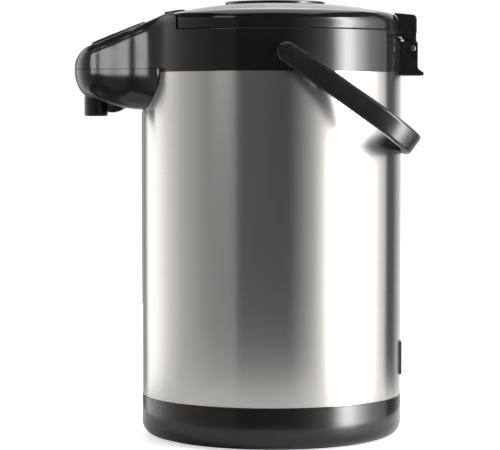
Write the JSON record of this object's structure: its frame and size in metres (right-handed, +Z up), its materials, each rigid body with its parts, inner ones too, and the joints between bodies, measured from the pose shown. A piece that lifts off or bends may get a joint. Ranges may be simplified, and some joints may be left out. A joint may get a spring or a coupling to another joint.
{
  "type": "electric thermo pot",
  "caption": "Electric thermo pot: steel jacket, gloss head with a dispensing beak, hinged lid with a hand pump, carrying bail, control buttons and a cup lever behind the nozzle",
  "frame": {"origin": "centre of the ring-shaped foot, on the table", "axes": "+Z up, the beak points along -Y, the bail's pivots lie along X"},
  "size_m": [0.236, 0.2816, 0.3527],
  "materials": {
    "gloss_black": "high gloss moulded ABS, polished",
    "satin_black": "satin moulded plastic",
    "charcoal": "satin black polypropylene, faintly grained",
    "steel": "brushed stainless sheet, brushed round the body",
    "pot_steel": "fine brushed stainless, deep drawn",
    "screw_steel": "plain zinc plated steel",
    "plate_steel": "bare zinc plated sheet",
    "rubber": "soft black rubber",
    "silicone": "translucent pale silicone rubber",
    "window": "clear plastic window",
    "tube": "clear level tube",
    "aluminium": "cast aluminium",
    "mica": "mica band in a steel clamp",
    "pale_plastic": "natural nylon",
    "motor": "zinc plated motor can",
    "ferrite": "sintered ferrite magnet on a steel shaft",
    "board": "green circuit board with dark components",
    "brass": "plated brass pins",
    "panel": "satin black panel",
    "button": "satin dark grey button",
    "lens": "coloured indicator lens",
    "pin_steel": "turned stainless pin"
  },
  "bodies": {
    "body": {"foot_ring": "rubber", "base_ring": "charcoal", "bottom_cover": "charcoal", "bottom_screws": "screw_steel", "chassis_plate": "plate_steel", "steel_jacket": "steel", "level_window": "window", "window_frame": "satin_black", "inlet_socket": "satin_black", "inlet_pins": "brass", "inner_pot": "pot_steel", "pot_gasket": "silicone", "mouth_ring": "charcoal", "heating_plate": "aluminium", "band_heater": "mica", "thermostat": "motor", "pump_body": "pale_plastic", "pump_motor": "motor", "suction_sleeve": "silicone", "riser_elbow": "silicone", "level_tube": "tube", "outlet_tube": "silicone", "power_board": "board", "head_frame": "gloss_black", "lower_beak_cover": "gloss_black", "beak_screws": "screw_steel", "nozzle": "satin_black", "lever_pin": "pin_steel", "control_panel": "panel", "control_board": "board", "indicator_lenses": "lens", "hinge_bracket": "gloss_black", "hinge_pin": "pin_steel", "bail_studs": "satin_black"},
    "lid": {"lid_shell": "gloss_black", "lid_hinge_block": "gloss_black", "inner_lid": "pot_steel", "lid_gasket": "silicone", "lid_screws": "screw_steel", "bellows": "rubber", "pump_spring": "screw_steel", "air_valve": "silicone", "steam_vent": "satin_black"},
    "push_plate": {"push_plate": "gloss_black"},
    "latch_slide": {"latch_slide": "gloss_black"},
    "bail": {"bail": "satin_black"},
    "cup_lever": {"cup_lever": "satin_black"},
    "dispense_button": {"dispense_button": "button"},
    "reboil_button": {"reboil_button": "button"},
    "unlock_button": {"unlock_button": "button"},
    "impeller": {"pump_impeller": "pale_plastic"},
    "magnet": {"motor_magnet": "ferrite"}
  },
  "joints": [
    {"name": "lid_hinge", "type": "hinge", "parent": "body", "child": "lid", "pos_m": [0, 0.1132, 0.3138], "axis": [-1, 0, 0], "range_deg": [0, 85]},
    {"name": "bail_swing", "type": "hinge", "parent": "body", "child": "bail", "pos_m": [0, 0.0109, 0.3083], "axis": [1, 0, 0], "range_deg": [0, 195]},
    {"name": "pump_stroke", "type": "slide", "parent": "lid", "child": "push_plate", "axis": [0, 0, -1], "range_m": [0, 0.012], "stiffness_N_per_m": 1200, "springref_m": -0.005, "deforming": ["bellows", "pump_spring"]},
    {"name": "latch_slide_back", "type": "slide", "parent": "lid", "child": "latch_slide", "axis": [0, 0.9816, 0.1908], "range_m": [0, 0.004], "stiffness_N_per_m": 300, "springref_m": -0.003},
    {"name": "cup_lever_swing", "type": "hinge", "parent": "body", "child": "cup_lever", "pos_m": [0, -0.122, 0.281], "axis": [1, 0, 0], "range_deg": [0, 7], "stiffness_Nm_per_rad": 0.05, "springref_deg": -11.46},
    {"name": "dispense_press", "type": "slide", "parent": "body", "child": "dispense_button", "axis": [0, 0.3746, -0.9272], "range_m": [0, 0.0008], "stiffness_N_per_m": 800, "springref_m": -0.001},
    {"name": "reboil_press", "type": "slide", "parent": "body", "child": "reboil_button", "axis": [0, 0.3746, -0.9272], "range_m": [0, 0.0008], "stiffness_N_per_m": 600, "springref_m": -0.001},
    {"name": "unlock_press", "type": "slide", "parent": "body", "child": "unlock_button", "axis": [0, 0.3746, -0.9272], "range_m": [0, 0.0008], "stiffness_N_per_m": 600, "springref_m": -0.001},
    {"name": "magnet_spin", "type": "hinge", "parent": "body", "child": "magnet", "pos_m": [0, -0.052, 0.036], "axis": [0, 0, 1], "continuous": true},
    {"name": "impeller_spin", "type": "hinge", "parent": "body", "child": "impeller", "pos_m": [0, -0.052, 0.052], "axis": [0, 0, 1], "continuous": true}
  ],
  "couplings": [
    {"joint": "impeller_spin", "follows": "magnet_spin", "ratio": 1}
  ]
}
